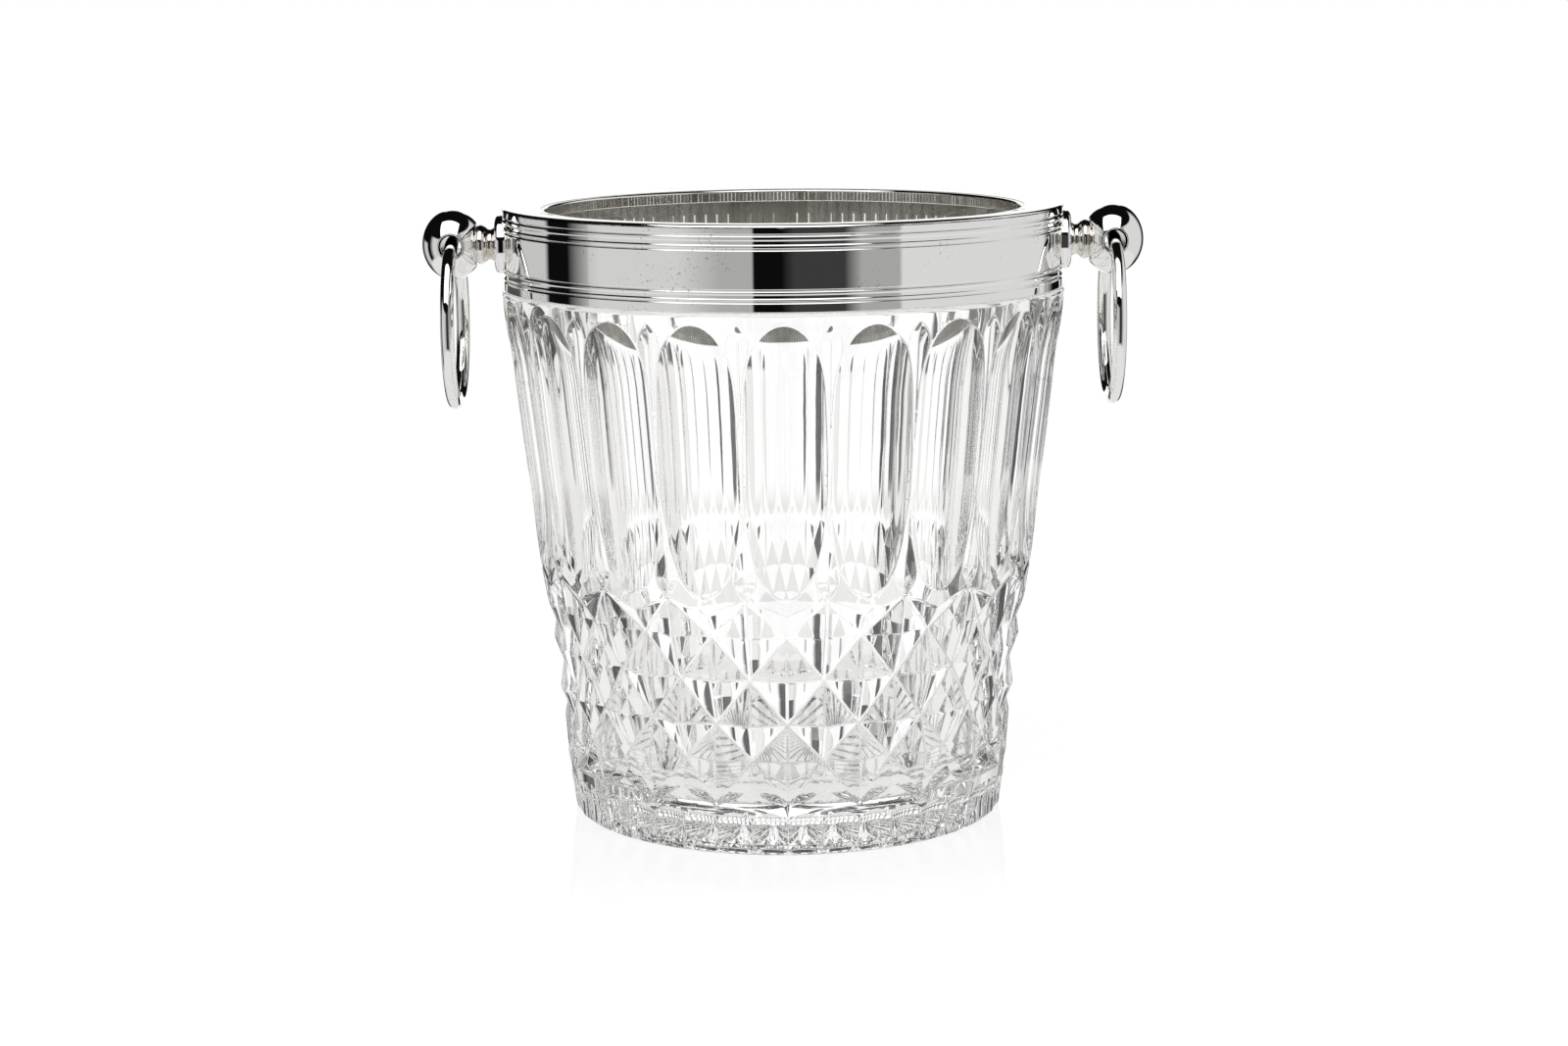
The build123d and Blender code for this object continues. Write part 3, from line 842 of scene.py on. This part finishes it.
# ------------------------------------------------------------------ studio
# azimuth from, to; elevation from, to; softness of the sides and of the top, in degrees;
# brightness in a mirror and through the glass. Azimuth 0 is the camera, 90 is +X.
PANELS = [
    (-190, -164, -90, 32, 2, 3, 1.05, None),    # bright backdrop as metal sees it
    (164, 190, -90, 32, 2, 3, 1.05, None),
    (-190, -157, -90, 32, 2, 3, None, 1.10),    # and through the glass
    (157, 190, -90, 32, 2, 3, None, 1.10),
    (-157, -111, -90, 1, 2, 3, 0.08, 0.88),     # far end of the table on the left
    (-135, -111, -90, 1, 3, 3, 0.58, 0.95),
    (-85, -12, -90, 17, 1, 3, 0.42, 0.88),      # white card on the left, brighter far off
    (-88, -34, -90, 17, 18, 3, 0.66, 0.95),
    (2, 30, -26, 20, 5, 3, 0.045, 0.30),        # beside the camera
    (28, 140, -90, 38, 7, 4, 0.40, 0.88),       # white wall on the right
    (48, 133, -90, 38, 1.5, 4, 0.72, 0.95),
    (-190, 190, -90, -13, 3, 4, None, 0.88),    # the table beyond the object
    (-190, 190, -90, -30, 3, 5, 0.80, 0.84),    # the table close by
]
SOFTBOX_AT = (-10, 52)                  # azimuth and elevation of the big light
SOFTBOX = (-0.74, 0.60, -0.37, 0.72)    # its left, right, bottom and top, as tangents
SOFTBOX_TONE = 1.7
SKY = (0.004, 0.05)                     # unlit studio, in a mirror and through the glass
WARM = (1.0, 0.992, 0.966)              # tint of what isn't the backdrop, through the glass


def between(tree, value, low, high, soft):
    """One inside low..high and zero outside, with soft edges."""
    rise = span(tree, value, low - soft / 2, low + soft / 2)
    fall = span(tree, value, high - soft / 2, high + soft / 2, 1.0, 0.0)
    return add_node(tree, "ShaderNodeMath", {0: rise, 1: fall}, operation="MULTIPLY").outputs[0]


def softbox(tree, way):
    """One where a direction meets the flat softbox, zero elsewhere."""
    a, e = (math.radians(angle) for angle in SOFTBOX_AT)
    centre = (math.sin(a) * math.cos(e), -math.cos(a) * math.cos(e), math.sin(e))
    right = (math.cos(a), math.sin(a), 0.0)
    up = (-math.sin(a) * math.sin(e), math.cos(a) * math.sin(e), math.cos(e))
    ahead, across, above = (
        add_node(
            tree, "ShaderNodeVectorMath", {0: way, 1: axis}, operation="DOT_PRODUCT"
        ).outputs["Value"]
        for axis in (centre, right, up)
    )
    u, v = (
        add_node(tree, "ShaderNodeMath", {0: part, 1: ahead}, operation="DIVIDE").outputs[0]
        for part in (across, above)
    )
    left_u, right_u, low_v, high_v = SOFTBOX
    shape = add_node(
        tree, "ShaderNodeMath",
        {0: between(tree, u, left_u, right_u, 0.03), 1: between(tree, v, low_v, high_v, 0.03)},
        operation="MULTIPLY",
    )
    front = span(tree, ahead, 0.0, 0.05)
    return add_node(
        tree, "ShaderNodeMath", {0: shape.outputs[0], 1: front}, operation="MULTIPLY"
    ).outputs[0]


def light_world():
    """White room for the camera; cards and a softbox for mirror rays, other tones through glass."""
    world = bpy.data.worlds.new("studio")
    bpy.context.scene.world = world
    world.use_nodes = True
    tree = world.node_tree
    tree.nodes.clear()
    way = add_node(tree, "ShaderNodeTexCoord").outputs["Generated"]
    axes = add_node(tree, "ShaderNodeSeparateXYZ", {"Vector": way})
    front = add_node(tree, "ShaderNodeMath", {0: axes.outputs["Y"], 1: -1.0}, operation="MULTIPLY")
    turn = add_node(
        tree, "ShaderNodeMath", {0: axes.outputs["X"], 1: front.outputs[0]}, operation="ARCTAN2"
    )
    rise = add_node(tree, "ShaderNodeMath", {0: axes.outputs["Z"]}, operation="ARCSINE")
    azimuth, elevation = (
        add_node(tree, "ShaderNodeMath", {0: angle.outputs[0]}, operation="DEGREES").outputs[0]
        for angle in (turn, rise)
    )
    mirror, through = ((tone, tone, tone, 1) for tone in SKY)
    for a0, a1, e0, e1, side_soft, top_soft, mirror_tone, glass_tone in PANELS:
        here = add_node(
            tree, "ShaderNodeMath",
            {0: between(tree, azimuth, a0, a1, side_soft),
             1: between(tree, elevation, e0, e1, top_soft)},
            operation="MULTIPLY",
        ).outputs[0]
        if mirror_tone is not None:
            mirror = blend(tree, here, mirror, (mirror_tone, mirror_tone, mirror_tone, 1))
        if glass_tone is not None:
            tint = WARM if glass_tone < 1 else (1, 1, 1)
            through = blend(tree, here, through, (*[glass_tone * part for part in tint], 1))
    lit = softbox(tree, way)
    mirror, through = (
        blend(tree, lit, base, (SOFTBOX_TONE, SOFTBOX_TONE, SOFTBOX_TONE, 1))
        for base in (mirror, through)
    )
    path = add_node(tree, "ShaderNodeLightPath")
    tone = blend(tree, path.outputs["Is Transmission Ray"], mirror, through)
    tone = blend(tree, path.outputs["Is Camera Ray"], tone, (1, 1, 1, 1))
    back = add_node(tree, "ShaderNodeBackground", {"Color": tone})
    out = add_node(tree, "ShaderNodeOutputWorld")
    tree.links.new(back.outputs[0], out.inputs["Surface"])


def floor():
    """White acrylic under the bucket: glows, takes a faint shadow and a faint reflection."""
    reach = 1.1
    mesh = bpy.data.meshes.new("table_top")
    corners = [(-reach, -reach, 0), (reach, -reach, 0), (reach, reach, 0), (-reach, reach, 0)]
    mesh.from_pydata(corners, [], [(0, 1, 2, 3)])
    material = bpy.data.materials.new("white_acrylic")
    material.use_nodes = True
    tree = material.node_tree
    tree.nodes.clear()
    spot = add_node(tree, "ShaderNodeTexCoord").outputs["Object"]
    reach_out = add_node(tree, "ShaderNodeVectorMath", {0: spot}, operation="LENGTH")
    share = span(tree, reach_out.outputs["Value"], 0.075, 0.18, 0.15, 0.0)
    glow = add_node(tree, "ShaderNodeEmission", {"Color": (1, 1, 1, 1), "Strength": 0.945})
    matte = add_node(tree, "ShaderNodeBsdfDiffuse", {"Color": (0.13, 0.13, 0.13, 1)})
    gloss = add_node(tree, "ShaderNodeBsdfGlossy", {"Color": (1, 1, 1, 1), "Roughness": 0.10})
    lit = add_node(tree, "ShaderNodeAddShader", {0: glow.outputs[0], 1: matte.outputs[0]})
    both = add_node(tree, "ShaderNodeMixShader", {0: share, 1: lit.outputs[0], 2: gloss.outputs[0]})
    out = add_node(tree, "ShaderNodeOutputMaterial")
    tree.links.new(both.outputs[0], out.inputs["Surface"])
    mesh.materials.append(material)
    table = bpy.data.objects.new("table_top", mesh)
    bpy.context.scene.collection.objects.link(table)
    table.visible_glossy = False
    table.visible_transmission = False
    table.visible_diffuse = False
    table.visible_shadow = False
    table.location.z = -0.0002


CAMERA_LENS = 75.09                     # millimetres, on a sensor 36 mm wide
CAMERA_AT = (-0.00053, -1.2, 0.31197)   # metres; the distance of 1.2 m is only roughly known
CAMERA_TILT, CAMERA_ROLL = 9.727, -0.53  # degrees down, degrees round the view


def camera():
    """Long lens from the front, a little above the rim."""
    data = bpy.data.cameras.new("camera")
    data.lens, data.sensor_width = CAMERA_LENS, 36.0
    obj = bpy.data.objects.new("camera", data)
    tilt = Matrix.Rotation(math.radians(90 - CAMERA_TILT), 4, "X")
    roll = Matrix.Rotation(math.radians(CAMERA_ROLL), 4, "Z")
    obj.matrix_world = Matrix.Translation(CAMERA_AT) @ tilt @ roll
    bpy.context.scene.collection.objects.link(obj)
    bpy.context.scene.camera = obj


def render_settings():
    scene = bpy.context.scene
    scene.view_settings.view_transform = "Standard"
    scene.view_settings.look = "None"
    cycles = scene.cycles
    cycles.use_denoising = True
    cycles.max_bounces = 28
    cycles.transmission_bounces = 28
    cycles.glossy_bounces = 10
    cycles.diffuse_bounces = 3
    cycles.sample_clamp_indirect = 6.0
    cycles.caustics_reflective = True
    cycles.caustics_refractive = True


build_object()
light_world()
floor()
camera()
render_settings()
